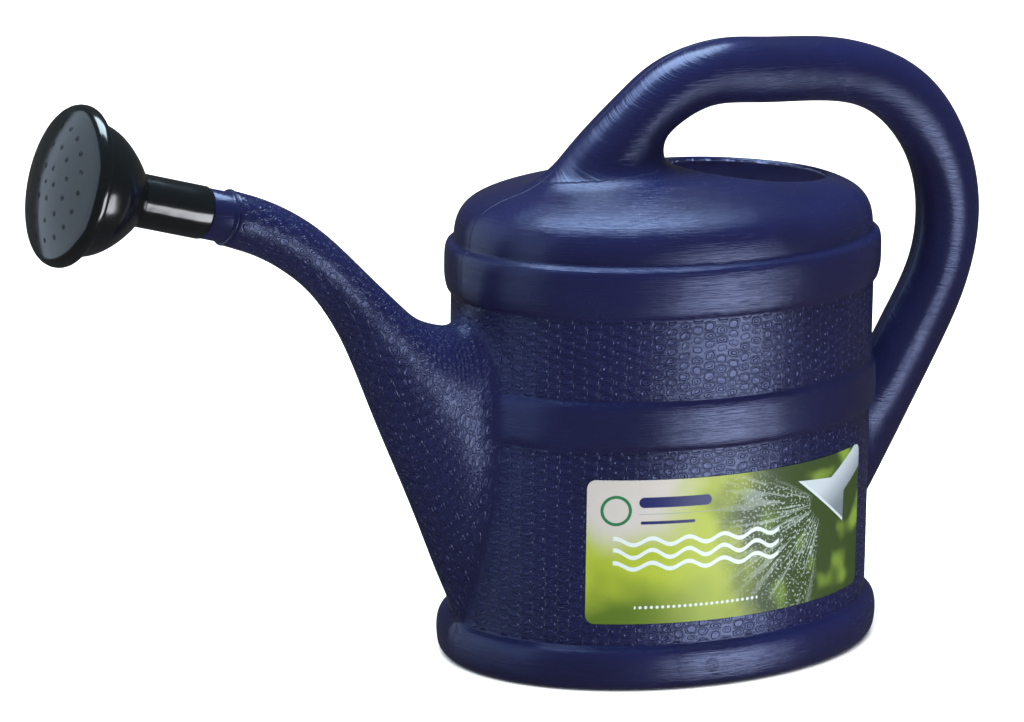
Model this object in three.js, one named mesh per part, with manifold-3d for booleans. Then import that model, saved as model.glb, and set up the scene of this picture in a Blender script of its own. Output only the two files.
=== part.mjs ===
// Garden watering can of the five-litre class, in millimetres, +Z up.
//
// The can is one hollow moulding: an oval tank with a domed top, a spout that grows out of the
// front wall as a tall fin, and a tubular loop handle over the top and down the back. A push-fit
// rose sits on the end of the spout. The moulding is built in regions that meet end to end, each
// a closed shell of the moulding's wall thickness, with a small joint gap between neighbours.
//
// Working frame: the tank's axis is x = y = 0, the spout points to -X, the handle is at +X, and
// the moulding is symmetric about y = 0. The whole group is then shifted along X, so that the
// origin is under the middle of the bounding box.

import * as THREE from 'three';
import { mergeVertices } from 'three/addons/utils/BufferGeometryUtils.js';
import Module from 'manifold-3d';

// ---------------------------------------------------------------- driving dimensions

const WALL = 2.2; // wall thickness of the moulding
const GAP = 0.3; // gap between regions and pieces that touch

const TANK_HALF_LENGTH = 104.6; // half axes of the plain tank wall, outside
const TANK_HALF_WIDTH = 77.6;
const BASE_TOP = 19.6; // top of the foot band
const FLOOR_LIFT = 3; // push-up of the floor inside the rim
const BAND_LOW = 112; // raised middle band
const BAND_HIGH = 132.8;
const RING_LOW = 171.5; // shoulder ring, the widest part
const RING_HIGH = 195.2;
const DOME_TOP = 225.2;
const TANK_SIDES = 44;

const FILLER_CENTRE_X = 45; // filler opening in the dome, behind the handle's root
const FILLER_HALF_LENGTH = 37;
const FILLER_HALF_WIDTH = 33;

const HANDLE_SIDES = 18;
const SPOUT_SIDES = 20;
const SPOUT_TILT = THREE.MathUtils.degToRad(15.3); // rise of the spout's last stretch
const SPOUT_TIP = [-226, 221.5]; // centre of the spout tube's end face, x and z
const SPOUT_RADIUS = 12.2;

const NECK_RADIUS = 11.2; // spigot: a bare neck, then the seat of the rose's socket
const SEAT_RADIUS = 9.3;
const SPIGOT_BORE = 7.1;
const NECK_LENGTH = 10.5;
const SPIGOT_LENGTH = 33;

const SOCKET_BORE = SEAT_RADIUS + GAP;
const SOCKET_RADIUS = 11.7;
const SOCKET_END = NECK_LENGTH + GAP; // along the spigot's axis from the spout's end face
const BELL_START = 44;
const BELL_MOUTH = 77.5;
const BELL_RADIUS = 32;
const BELL_WALL = 1.8;
const ROSE_SIDES = 32;

const FACE_RADIUS = 35; // cap with the sprinkling holes, snapped over the bell's mouth
const FACE_CROWN = 7;
const FACE_WALL = 1.8;
const LIP_BACK = 72;
const HOLE_RINGS = [[6, 7.5], [12, 16.5], [18, 25.5]]; // holes in each ring and its radius
const HOLE_RADIUS = 1;

const LABEL_ARC = 1.55; // label round the middle of the near side, in turn of the oval's angle
const LABEL_LOW = 31;
const LABEL_HIGH = 98;
const LABEL_CORNER = 4;
const LABEL_THICKNESS = 0.4;

// ---------------------------------------------------------------- materials

function plastic(color, roughness) {
  return new THREE.MeshStandardMaterial({ color, roughness, metalness: 0 });
}

const canBlue = plastic(0x23236b, 0.38);
const roseBlack = plastic(0x0c0f12, 0.16);
const labelGreen = plastic(0x86b832, 0.45);

// ---------------------------------------------------------------- solids

const wasm = await Module();
wasm.setup();

function toSolid(geometry) {
  const bare = geometry.clone();
  bare.deleteAttribute('normal');
  bare.deleteAttribute('uv');
  const merged = mergeVertices(bare, 1e-4);
  return new wasm.Manifold(new wasm.Mesh({
    numProp: 3,
    vertProperties: new Float32Array(merged.attributes.position.array),
    triVerts: new Uint32Array(merged.index.array),
  }));
}

function toGeometry(solid) {
  const mesh = solid.getMesh();
  const geometry = new THREE.BufferGeometry();
  geometry.setAttribute('position', new THREE.BufferAttribute(mesh.vertProperties, 3));
  geometry.setIndex(new THREE.BufferAttribute(mesh.triVerts, 1));
  geometry.computeVertexNormals();
  return geometry;
}

function cut(geometry, ...tools) {
  return toGeometry(tools.reduce((solid, tool) => solid.subtract(toSolid(tool)), toSolid(geometry)));
}

function signedVolume(geometry) {
  const p = geometry.attributes.position;
  const index = geometry.index.array;
  const [a, b, c] = [new THREE.Vector3(), new THREE.Vector3(), new THREE.Vector3()];
  let sum = 0;
  for (let i = 0; i < index.length; i += 3) {
    a.fromBufferAttribute(p, index[i]);
    b.fromBufferAttribute(p, index[i + 1]);
    c.fromBufferAttribute(p, index[i + 2]);
    sum += a.dot(b.cross(c));
  }
  return sum / 6;
}

// Skin through a list of rings with equal point counts. An open list is capped at both ends by a
// fan round each end ring's middle; a closed list comes back to its first ring, as a pipe does.
function loft(rings, closed = false) {
  const count = rings[0].length;
  const points = rings.flat();
  const index = [];
  const last = closed ? rings.length : rings.length - 1;
  for (let r = 0; r < last; r += 1) {
    const here = r * count;
    const next = ((r + 1) % rings.length) * count;
    for (let i = 0; i < count; i += 1) {
      const j = (i + 1) % count;
      index.push(here + i, here + j, next + j, here + i, next + j, next + i);
    }
  }
  if (!closed) {
    const ends = [0, rings.length - 1];
    for (const end of ends) {
      const middle = new THREE.Vector3();
      rings[end].forEach((point) => middle.addScaledVector(point, 1 / count));
      points.push(middle);
      for (let i = 0; i < count; i += 1) {
        const pair = [end * count + i, end * count + ((i + 1) % count)];
        if (end === 0) {
          pair.reverse();
        }
        index.push(...pair, points.length - 1);
      }
    }
  }
  const geometry = new THREE.BufferGeometry().setFromPoints(points);
  geometry.setIndex(index);
  if (signedVolume(geometry) < 0) {
    for (let i = 0; i < index.length; i += 3) {
      [index[i], index[i + 1]] = [index[i + 1], index[i]];
    }
    geometry.setIndex(index);
  }
  geometry.computeVertexNormals();
  return geometry;
}

// ---------------------------------------------------------------- tank

// A ring of the tank: the plain wall's oval moved outwards by `offset`, at height z.
function oval(offset, z) {
  const ring = [];
  for (let i = 0; i < TANK_SIDES; i += 1) {
    const angle = (i / TANK_SIDES) * 2 * Math.PI;
    const x = (TANK_HALF_LENGTH + offset) * Math.cos(angle);
    const y = (TANK_HALF_WIDTH + offset) * Math.sin(angle);
    ring.push(new THREE.Vector3(x, y, z));
  }
  return ring;
}

function ovals(profile, grow = 0) {
  return profile.map(([offset, z]) => oval(offset + grow, z));
}

// Outer profiles, each point an offset from the plain wall and a height, from the bottom up.
const baseProfile = [
  [-2, 0], [2.2, 0.8], [4.4, 3.4], [5.2, 8], [5.2, 13], [3.8, 17], [0.8, BASE_TOP],
];
const wallProfile = [
  [0, BASE_TOP + GAP], [0, BAND_LOW - 0.6],
  [1.4, BAND_LOW + 0.8], [2.2, BAND_LOW + 4], [2.2, BAND_HIGH - 4], [1.6, BAND_HIGH - 1],
  [0, BAND_HIGH + 0.6], [0, RING_LOW],
  [1.4, RING_LOW + 1.6], [3.1, RING_LOW + 5.5], [3.9, RING_LOW + 11], [3.7, RING_HIGH - 5],
  [2.6, RING_HIGH - 2.4], [-0.9, RING_HIGH],
];
const domeProfile = [
  [-0.9, RING_HIGH + GAP], [-1.5, 201.5], [-3.4, 207], [-6.9, 211], [-11.5, 213.8],
  [-20, 217], [-36, 220.8], [-54, 223.5],
];

function tankBase() {
  const outside = ovals(baseProfile);
  const inside = ovals([
    [0.8 - WALL, BASE_TOP], [3.8 - WALL, 16.4], [5 - WALL, 12], [4.8 - WALL, 7], [1, WALL],
    [-11, WALL], [-15, FLOOR_LIFT + WALL],
  ]);
  // The floor is pushed up inside the rim that the can stands on.
  const underside = ovals([[-17, FLOOR_LIFT], [-13, 0]]);
  return loft([...underside, ...outside, ...inside]);
}

function tankWall() {
  const inside = ovals([
    [-WALL - 1, RING_HIGH], [0.3, RING_HIGH - 4.4], [1.4, RING_LOW + 11], [0.6, RING_LOW + 6],
    [-WALL, RING_LOW], [-WALL, BAND_HIGH + 0.6], [-0.2, BAND_HIGH - 4], [-0.2, BAND_LOW + 4],
    [-WALL, BAND_LOW - 0.6], [-WALL, BASE_TOP + GAP],
  ]);
  return loft([...ovals(wallProfile), ...inside], true);
}

function tankDome() {
  // The inside starts level with the joint and reaches the full wall thickness over the shoulder.
  const inside = ovals(domeProfile.map(([offset, z], i) => {
    const drop = Math.min(WALL, Math.max(0, i - 1) * 0.6);
    return [offset - Math.max(WALL - drop * 0.6, 1), z - drop];
  })).reverse();
  const outside = ovals(domeProfile);
  // Both skins end in a small flat oval round the middle of the dome.
  outside.push(oval(6 - TANK_HALF_WIDTH, DOME_TOP));
  inside.unshift(oval(6 - TANK_HALF_WIDTH, DOME_TOP - WALL));
  return loft([...inside, ...outside]);
}

function fillerTool() {
  const rings = [DOME_TOP - 30, DOME_TOP + 10].map((z) => {
    const ring = [];
    for (let i = 0; i < 40; i += 1) {
      const angle = (i / 40) * 2 * Math.PI;
      const x = FILLER_CENTRE_X + FILLER_HALF_LENGTH * Math.cos(angle);
      ring.push(new THREE.Vector3(x, FILLER_HALF_WIDTH * Math.sin(angle), z));
    }
    return ring;
  });
  return loft(rings);
}

// The tank as a solid block, a gap larger all round, to trim what grows out of it.
function tankTrimmer() {
  const profile = [...baseProfile, ...wallProfile, ...domeProfile, [6 - TANK_HALF_WIDTH, DOME_TOP]];
  const raised = profile.map(([offset, z]) => [offset, z >= RING_HIGH ? z + GAP : z]);
  return loft(ovals(raised, GAP));
}

// ---------------------------------------------------------------- handle and spout

// A hollow limb is a run of stations. Each has the two points [x, z] where its section meets the
// plane y = 0, on its first and second edge, and its half thickness along Y. `fat` moves the
// widest place towards the first edge, from 0 for an ellipse.
function spread(stations, perSpan) {
  const first = new THREE.CatmullRomCurve3(stations.map((s) => new THREE.Vector3(...s.a, s.half)));
  const second = new THREE.CatmullRomCurve3(
    stations.map((s) => new THREE.Vector3(...s.b, s.fat ?? 0)));
  [first, second].forEach((curve) => Object.assign(curve, { curveType: 'catmullrom' }));
  const steps = (stations.length - 1) * perSpan;
  return Array.from({ length: steps + 1 }, (_, i) => {
    const p = first.getPoint(i / steps);
    const q = second.getPoint(i / steps);
    return { a: [p.x, p.y], b: [q.x, q.y], half: p.z, fat: q.z };
  });
}

// A section ring, moved inwards by `inset`.
function section({ a, b, half, fat }, sides, inset = 0) {
  const reach = new THREE.Vector2(a[0] - b[0], a[1] - b[1]).multiplyScalar(0.5);
  const middle = [(a[0] + b[0]) / 2, (a[1] + b[1]) / 2];
  const shrink = 1 - inset / reach.length();
  const ring = [];
  for (let i = 0; i < sides; i += 1) {
    const angle = (i / sides) * 2 * Math.PI;
    const along = Math.cos(angle) * shrink;
    const across = (half - inset) * Math.sin(angle) * (1 + fat * Math.cos(angle));
    ring.push(new THREE.Vector3(middle[0] + reach.x * along, across, middle[1] + reach.y * along));
  }
  return ring;
}

function limb(stations, sides) {
  const outside = stations.map((s) => section(s, sides));
  const inside = stations.map((s) => section(s, sides, WALL)).reverse();
  return loft([...outside, ...inside], true);
}

function bore(stations, sides) {
  return loft(stations.map((s) => section(s, sides, WALL)));
}

// Starts a run a joint gap after the station it is cut at.
function stepOff(stations) {
  const [s, t] = stations;
  const mix = GAP / Math.hypot(t.a[0] - s.a[0], t.a[1] - s.a[1]);
  const blend = (u, v) => u + (v - u) * mix;
  const start = {
    a: [blend(s.a[0], t.a[0]), blend(s.a[1], t.a[1])],
    b: [blend(s.b[0], t.b[0]), blend(s.b[1], t.b[1])],
    half: blend(s.half, t.half),
    fat: blend(s.fat, t.fat),
  };
  return [start, ...stations.slice(1)];
}

// Handle, from inside the dome over the top to inside the rear wall. The first edge is outside.
const handle = spread([
  { a: [-79, 209], b: [-2, 212], half: 19 },
  { a: [-62, 226], b: [-3.6, 225], half: 17.2 },
  { a: [-45, 243], b: [-4, 232], half: 16.2 },
  { a: [-25.5, 259.5], b: [-3.5, 238.5], half: 15.4 },
  { a: [-5.9, 273.6], b: [8.2, 247], half: 15.2 },
  { a: [27.5, 282.5], b: [29, 252.3], half: 15.2 },
  { a: [50, 281.2], b: [50, 251.2], half: 15.2 },
  { a: [74, 280], b: [73, 250.2], half: 15.2 },
  { a: [96.3, 278.7], b: [93.3, 248.4], half: 15.2 },
  { a: [138.5, 261.6], b: [119.9, 237.6], half: 15 },
  { a: [166.7, 226.3], b: [139.1, 213.5], half: 15 },
  { a: [175, 188], b: [144.3, 188.3], half: 15.2 },
  { a: [168, 153.3], b: [139.7, 164.8], half: 15.3 },
  { a: [156, 128.6], b: [127.5, 143], half: 15.6 },
  { a: [139, 99], b: [111, 117], half: 15.6 },
  { a: [118, 62], b: [88, 92], half: 15 },
  { a: [96, 27], b: [70, 66], half: 14 },
], 2);
const HANDLE_FRONT_END = 10; // station numbers where the regions meet
const GRIP_END = 16;
const REAR_ARM_END = 26;

// Spout, from inside the front wall to its round end. The first edge is on top.
const axis = [-Math.cos(SPOUT_TILT), Math.sin(SPOUT_TILT)];
const tipOffset = [Math.sin(SPOUT_TILT) * SPOUT_RADIUS, Math.cos(SPOUT_TILT) * SPOUT_RADIUS];
const spout = spread([
  { a: [-93, 168], b: [-96, 5], half: 21, fat: 0.48 },
  { a: [-104, 164], b: [-106, 20], half: 20.5, fat: 0.48 },
  { a: [-119, 162.5], b: [-130, 74], half: 19.5, fat: 0.36 },
  { a: [-131, 167], b: [-150.5, 121], half: 17.5, fat: 0.22 },
  { a: [-142, 176.3], b: [-166, 157], half: 14.8, fat: 0.08 },
  { a: [-154, 187.8], b: [-175.5, 173], half: 12.9 },
  { a: [-167.5, 201], b: [-185, 184.6], half: SPOUT_RADIUS },
  { a: [-184, 215.1], b: [-198.6, 195.6], half: SPOUT_RADIUS },
  { a: [-204, 226.5], b: [-213, 203.6], half: SPOUT_RADIUS },
  {
    a: [SPOUT_TIP[0] + tipOffset[0], SPOUT_TIP[1] + tipOffset[1]],
    b: [SPOUT_TIP[0] - tipOffset[0], SPOUT_TIP[1] - tipOffset[1]],
    half: SPOUT_RADIUS,
  },
], 2);
const SPOUT_ROOT_END = 9;

// ---------------------------------------------------------------- spigot and rose

// A lathed ring about +Z, from a closed outline of [radius, height] points.
function turned(outline, sides) {
  const points = [...outline, outline[0]].map(([r, z]) => new THREE.Vector2(r, z));
  return new THREE.LatheGeometry(points, sides).rotateX(Math.PI / 2);
}

function spigot() {
  return turned([
    [SPIGOT_BORE, GAP], [NECK_RADIUS, GAP], [NECK_RADIUS, NECK_LENGTH],
    [SEAT_RADIUS, NECK_LENGTH], [SEAT_RADIUS, SPIGOT_LENGTH - 2],
    [SEAT_RADIUS - 0.8, SPIGOT_LENGTH], [SPIGOT_BORE, SPIGOT_LENGTH],
  ], SPOUT_SIDES);
}

// The bell's outside: it swells from the socket and runs out nearly straight to its mouth.
const bellProfile = [
  [SOCKET_RADIUS, BELL_START], [15, 46], [18.2, 48.8], [21.8, 52.6], [24.9, 56.6], [27.1, 60.3],
  [28.5, 63.8], [30, 70], [31, 74], [BELL_RADIUS, BELL_MOUTH],
];

function roseShell() {
  const inside = bellProfile.slice(2).map(([r, z]) => [r - BELL_WALL, z + (z < 60 ? 1 : 0)]);
  return turned([
    [SOCKET_BORE, SOCKET_END], [SOCKET_RADIUS - 0.5, SOCKET_END],
    [SOCKET_RADIUS, SOCKET_END + 0.5], ...bellProfile, ...inside.reverse(),
    [SOCKET_BORE, BELL_START + 3],
  ], ROSE_SIDES);
}

// The cap's domed plate, from its edge to near its middle.
function crown(radius, inset) {
  const rise = FACE_CROWN * (1 - (radius / FACE_RADIUS) ** 2);
  return [Math.max(radius, 0), BELL_MOUTH + 1.4 + FACE_WALL + rise - inset];
}

function roseFace() {
  const plate = [33, 27, 20, 12, 0];
  const cap = new THREE.LatheGeometry([
    ...plate.map((r) => crown(r, FACE_WALL)).reverse(),
    [BELL_RADIUS + GAP + 0.2, BELL_MOUTH + 1.4], [BELL_RADIUS + GAP + 0.2, LIP_BACK],
    [FACE_RADIUS - 0.9, LIP_BACK], [FACE_RADIUS, LIP_BACK + 1.2],
    [FACE_RADIUS, BELL_MOUTH + 0.4], [FACE_RADIUS - 0.8, BELL_MOUTH + 2.4],
    ...plate.map((r) => crown(r, 0)),
  ].map(([r, z]) => new THREE.Vector2(r, z)), ROSE_SIDES).rotateX(Math.PI / 2);
  const pins = HOLE_RINGS.flatMap(([count, ringRadius], ring) =>
    Array.from({ length: count }, (_, i) => {
      const angle = ((i + ring / 2) / count) * 2 * Math.PI;
      const pin = new THREE.CylinderGeometry(HOLE_RADIUS, HOLE_RADIUS, 30, 6).rotateX(Math.PI / 2);
      return pin.translate(
        ringRadius * Math.cos(angle), ringRadius * Math.sin(angle), BELL_MOUTH + 5);
    }));
  return cut(cap, ...pins);
}

// ---------------------------------------------------------------- label

// A thin sheet bent round the near side of the lower wall, with clipped corners.
function label() {
  const columns = 24;
  const rings = [];
  for (let i = 0; i <= columns; i += 1) {
    const turn = LABEL_ARC * (i / columns - 0.5);
    const angle = -Math.PI / 2 + turn;
    const trim = i === 0 || i === columns ? LABEL_CORNER : 0;
    const ring = [
      [GAP, LABEL_LOW + trim], [GAP + LABEL_THICKNESS, LABEL_LOW + trim],
      [GAP + LABEL_THICKNESS, LABEL_HIGH - trim], [GAP, LABEL_HIGH - trim],
    ].map(([offset, z]) => new THREE.Vector3(
      (TANK_HALF_LENGTH + offset) * Math.cos(angle),
      (TANK_HALF_WIDTH + offset) * Math.sin(angle),
      z));
    rings.push(ring);
  }
  return loft(rings);
}

// ---------------------------------------------------------------- assembly

function piece(name, geometry, material) {
  const mesh = new THREE.Mesh(geometry, material);
  mesh.name = name;
  return mesh;
}

const trimmer = tankTrimmer();
const handleBore = bore(handle, HANDLE_SIDES);
const spoutBore = bore(spout, SPOUT_SIDES);
const can = new THREE.Group();

can.add(piece('tank_base', tankBase(), canBlue));
can.add(piece('tank_wall', cut(tankWall(), handleBore, spoutBore), canBlue));
can.add(piece('tank_dome', cut(tankDome(), handleBore, fillerTool()), canBlue));

const handleFront = handle.slice(0, HANDLE_FRONT_END + 1);
const grip = stepOff(handle.slice(HANDLE_FRONT_END, GRIP_END + 1));
const rearArm = stepOff(handle.slice(GRIP_END, REAR_ARM_END + 1));
const rearRoot = stepOff(handle.slice(REAR_ARM_END));
can.add(piece('handle_front', cut(limb(handleFront, HANDLE_SIDES), trimmer), canBlue));
can.add(piece('handle_grip', limb(grip, HANDLE_SIDES), canBlue));
can.add(piece('handle_rear', limb(rearArm, HANDLE_SIDES), canBlue));
can.add(piece('handle_rear_root', cut(limb(rearRoot, HANDLE_SIDES), trimmer), canBlue));

const spoutRoot = spout.slice(0, SPOUT_ROOT_END + 1);
const spoutTube = stepOff(spout.slice(SPOUT_ROOT_END));
can.add(piece('spout_root', cut(limb(spoutRoot, SPOUT_SIDES), trimmer), canBlue));
can.add(piece('spout_tube', limb(spoutTube, SPOUT_SIDES), canBlue));

// The spigot and the rose share a frame whose +Z is the spout's axis, pointing out of the spout.
const spoutEnd = new THREE.Group();
spoutEnd.position.set(SPOUT_TIP[0], 0, SPOUT_TIP[1]);
spoutEnd.rotation.y = SPOUT_TILT - Math.PI / 2;
spoutEnd.add(piece('spout_spigot', spigot(), canBlue));
spoutEnd.add(piece('rose_shell', roseShell(), roseBlack));
spoutEnd.add(piece('rose_face', roseFace(), roseBlack));
can.add(spoutEnd);

can.add(piece('label', label(), labelGreen));

can.updateMatrixWorld(true);
const bounds = new THREE.Box3().setFromObject(can, true);
can.position.x = -(bounds.min.x + bounds.max.x) / 2;

export default can;
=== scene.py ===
"""Looks of the watering can: one seamless blow-moulded can, its push-fit rose and its label.

Everything is worked out in millimetres in the part's own working frame, whose origin is on the
tank's upright axis, and turned into metres in the shared frame when a mesh is made.
"""
import math

import bmesh
import bpy
import numpy as np
from mathutils import Matrix, Vector


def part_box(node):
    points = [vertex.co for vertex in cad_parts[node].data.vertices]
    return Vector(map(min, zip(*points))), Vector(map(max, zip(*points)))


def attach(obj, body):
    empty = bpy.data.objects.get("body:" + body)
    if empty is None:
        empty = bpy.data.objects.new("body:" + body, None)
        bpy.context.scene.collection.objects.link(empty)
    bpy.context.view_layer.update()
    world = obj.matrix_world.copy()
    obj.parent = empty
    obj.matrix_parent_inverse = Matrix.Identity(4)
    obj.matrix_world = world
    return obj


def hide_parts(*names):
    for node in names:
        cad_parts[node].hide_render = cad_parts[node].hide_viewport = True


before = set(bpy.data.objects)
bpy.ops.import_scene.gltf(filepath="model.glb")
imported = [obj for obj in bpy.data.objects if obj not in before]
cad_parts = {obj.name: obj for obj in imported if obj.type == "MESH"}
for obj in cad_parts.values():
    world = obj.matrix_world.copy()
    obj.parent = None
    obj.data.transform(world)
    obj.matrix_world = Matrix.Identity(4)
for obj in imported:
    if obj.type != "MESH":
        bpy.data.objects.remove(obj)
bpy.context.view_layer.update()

# ------------------------------------------------------------------ dimensions, in millimetres


def span(node):
    low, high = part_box(node)
    return np.array(low) * 1000, np.array(high) * 1000


label_low, label_high = span("label")
base_low, base_high = span("tank_base")
SHIFT = (base_low[0] + base_high[0]) / 2  # the tank's axis in the shared frame
WALL = 2.2  # wall of the moulding
HALF_LENGTH = 104.6  # half axes of the plain tank wall
HALF_WIDTH = 77.6
OPENING = (45.0, 37.0, 33.0)  # filler opening: centre x and half axes
OPENING_BLEND = 3.4  # rounding of the opening's lip
TANK_BLEND = (6, 10)  # rounding where the handle meets the tank, at its low and its high root
SPOUT_BLEND = 9
BORE = 7.1  # radius and depth of the bore that joins the spout to the spigot
BORE_DEPTH = 9

# Outline of the tank, (offset from the plain wall, height), in runs that meet at a corner.
PROFILE = [
    [(-77.6, 3.0), (-40, 3.0), (-19, 3.0)],
    [(-19, 3.0), (-17, 2.6), (-14.6, 0.7), (-13, 0.1)],
    [(-13, 0.1), (-8, 0.0), (-2.6, 0.0), (1.6, 0.6), (4.2, 3.0), (5.3, 7.4), (5.5, 12.6),
     (4.9, 16.4), (3.6, 18.8), (1.8, 19.9)],
    [(1.8, 19.9), (0.2, 20.3)],
    [(0.2, 20.3), (0, 111.4)],
    [(0, 111.4), (1.2, 112.0)],
    [(1.2, 112.0), (2.0, 113.6), (2.45, 117), (2.5, 122.4), (2.4, 128), (1.95, 131.2), (1.3, 132.8)],
    [(1.3, 132.8), (0.1, 133.4)],
    [(0.1, 133.4), (0, 171.2)],
    [(0, 171.2), (1.2, 171.9), (2.3, 174.2), (2.95, 177.4), (3.2, 182), (3.15, 187.6),
     (2.85, 191.2), (2.2, 193.4)],
    [(2.2, 193.4), (0.6, 194.4), (-1.0, 194.7)],
    [(-1.0, 194.7), (-1.15, 198.5), (-1.9, 203.0), (-3.7, 207.4), (-6.9, 211.2), (-11.4, 214.0),
     (-20, 217.2), (-36, 220.9), (-54, 223.6), (-66, 224.7), (-77.6, 225.2)],
]

# Stations of the handle and of the spout: the points (x, z) where a section meets the plane y = 0
# on its first and second edge, its half thickness along y, and how far its fattest place moves
# towards the first edge.
HANDLE = [
    (-79, 209, -2, 212, 19, 0), (-62, 226, -3.6, 225, 17.2, 0), (-45, 243, -4, 232, 16.2, 0),
    (-25.5, 259.5, -3.5, 238.5, 15.4, 0), (-5.9, 273.6, 8.2, 247, 15.2, 0),
    (27.5, 282.5, 29, 252.3, 15.2, 0), (50, 281.9, 50, 251.2, 15.2, 0),
    (74, 280.6, 73, 250.2, 15.2, 0), (96.3, 278.1, 93.3, 248.4, 15.2, 0),
    (138.5, 261.6, 119.9, 237.6, 15, 0), (166.7, 226.3, 139.1, 213.5, 15, 0),
    (175, 188, 144.3, 188.3, 15.2, 0), (168, 153.3, 139.7, 164.8, 15.3, 0),
    (156, 128.6, 127.5, 143, 15.6, 0), (139, 99, 111, 117, 15.6, 0), (118, 62, 88, 92, 15, 0),
    (96, 27, 70, 66, 14, 0),
]
TILT = math.radians(15.3)  # rise of the spout's last stretch
TIP = (-226.0, 221.5)  # centre of the spout tube's end face
TUBE = 12.2  # radius of the spout's round stretch
END_CUT = 1.0  # the skin stops this far short of the end face
END_WALL = 3.4  # the hollow stops this far short of it
SPOUT = [
    (-93, 168, -96, 5, 21, 0.48), (-104, 164, -106, 20, 20.5, 0.48),
    (-119, 162.5, -130, 74, 19.5, 0.36), (-131, 167, -150.5, 121, 17.5, 0.22),
    (-142, 176.3, -166, 157, 14.8, 0.08), (-154, 187.8, -175.5, 173, 12.9, 0),
    (-167.5, 201, -185, 184.6, TUBE, 0), (-184, 215.1, -198.6, 195.6, TUBE, 0),
    (-204, 226.5, -213, 203.6, TUBE, 0),
    (TIP[0] + math.sin(TILT) * TUBE, TIP[1] + math.cos(TILT) * TUBE,
     TIP[0] - math.sin(TILT) * TUBE, TIP[1] - math.cos(TILT) * TUBE, TUBE, 0),
]

# ------------------------------------------------------------------ curves and fields


def spline(points, params, at):
    """Natural cubic spline through rows of points."""
    points = np.asarray(points, float)
    h = np.diff(params)
    n = len(params)
    matrix = np.zeros((n, n))
    right = np.zeros((n, points.shape[1]))
    matrix[0, 0] = matrix[-1, -1] = 1
    for i in range(1, n - 1):
        matrix[i, i - 1:i + 2] = h[i - 1], 2 * (h[i - 1] + h[i]), h[i]
        right[i] = 6 * ((points[i + 1] - points[i]) / h[i] - (points[i] - points[i - 1]) / h[i - 1])
    bend = np.linalg.solve(matrix, right)
    i = np.clip(np.searchsorted(params, at) - 1, 0, n - 2)
    a = (params[i + 1] - at)[:, None]
    b = (at - params[i])[:, None]
    hi = h[i][:, None]
    return ((bend[i] * a ** 3 + bend[i + 1] * b ** 3) / (6 * hi)
            + (points[i] / hi - bend[i] * hi / 6) * a + (points[i + 1] / hi - bend[i + 1] * hi / 6) * b)


def chord(points):
    steps = np.linalg.norm(np.diff(points, axis=0), axis=1)
    return np.concatenate([[0], np.cumsum(steps)])


def resample(line, step):
    along = chord(line)
    at = np.linspace(0, along[-1], int(along[-1] / step) + 1)
    return np.stack([np.interp(at, along, line[:, k]) for k in range(line.shape[1])], 1)


def rounded(line, width):
    """The line with its corners softened by a short moving average."""
    kernel = np.hanning(2 * width + 3)[1:-1]
    kernel /= kernel.sum()
    pad = len(kernel) // 2
    ends = np.vstack([2 * line[0] - line[pad:0:-1], line, 2 * line[-1] - line[-2:-pad - 2:-1]])
    return np.stack([np.convolve(ends[:, k], kernel, "valid") for k in range(line.shape[1])], 1)


def profile_line():
    runs = []
    for run in PROFILE:
        points = np.array(run, float)
        params = chord(points)
        at = np.linspace(0, params[-1], int(params[-1] / 0.1) + 2)
        runs.append(spline(points, params, at) if len(run) > 3 else resample(points, 0.1))
    return rounded(resample(np.vstack(runs), 0.15), 2)


class Table:
    """Values on a regular grid, read with bilinear interpolation."""

    def __init__(self, low, step, *values):
        self.low = np.array(low, float)
        self.step = step
        self.values = np.stack(values, -1)

    def read(self, a, b):
        size = np.array(self.values.shape[:2]) - 1.001
        a = np.clip((a - self.low[0]) / self.step, 0, size[0])
        b = np.clip((b - self.low[1]) / self.step, 0, size[1])
        i, j = a.astype(int), b.astype(int)
        u, v = (a - i)[..., None], (b - j)[..., None]
        t = self.values
        return ((t[i, j] * (1 - u) + t[i + 1, j] * u) * (1 - v)
                + (t[i, j + 1] * (1 - u) + t[i + 1, j + 1] * u) * v)


def profile_table():
    """Signed distance to the tank's outline, negative inside, and the length along it."""
    step = 0.4
    line = profile_line()
    tangent = np.gradient(line, axis=0)
    tangent /= np.linalg.norm(tangent, axis=1)[:, None]
    along = chord(line)
    offsets = np.arange(-78, 16, step)
    heights = np.arange(-8, 236, step)
    distance = np.empty((len(offsets), len(heights)))
    length = np.empty_like(distance)
    skip = 5
    for i, offset in enumerate(offsets):
        here = np.stack(np.broadcast_arrays(offset, heights), 1)[:, None, :]
        rough = np.argmin(((here - line[None, ::skip]) ** 2).sum(2), 1) * skip
        near = np.clip(rough[:, None] + np.arange(-skip, skip + 1), 0, len(line) - 1)
        away = here - line[near]
        row = np.arange(len(heights))
        best = np.argmin((away ** 2).sum(2), 1)
        nearest, gap = near[row, best], away[row, best]
        t = tangent[nearest]
        side = gap[:, 0] * t[:, 1] - gap[:, 1] * t[:, 0]
        straight = np.linalg.norm(gap, axis=1)
        distance[i] = np.where(straight < 2, side, np.sign(side) * straight)
        length[i] = along[nearest]
    return Table((-78, -8), step, distance, length)


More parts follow.
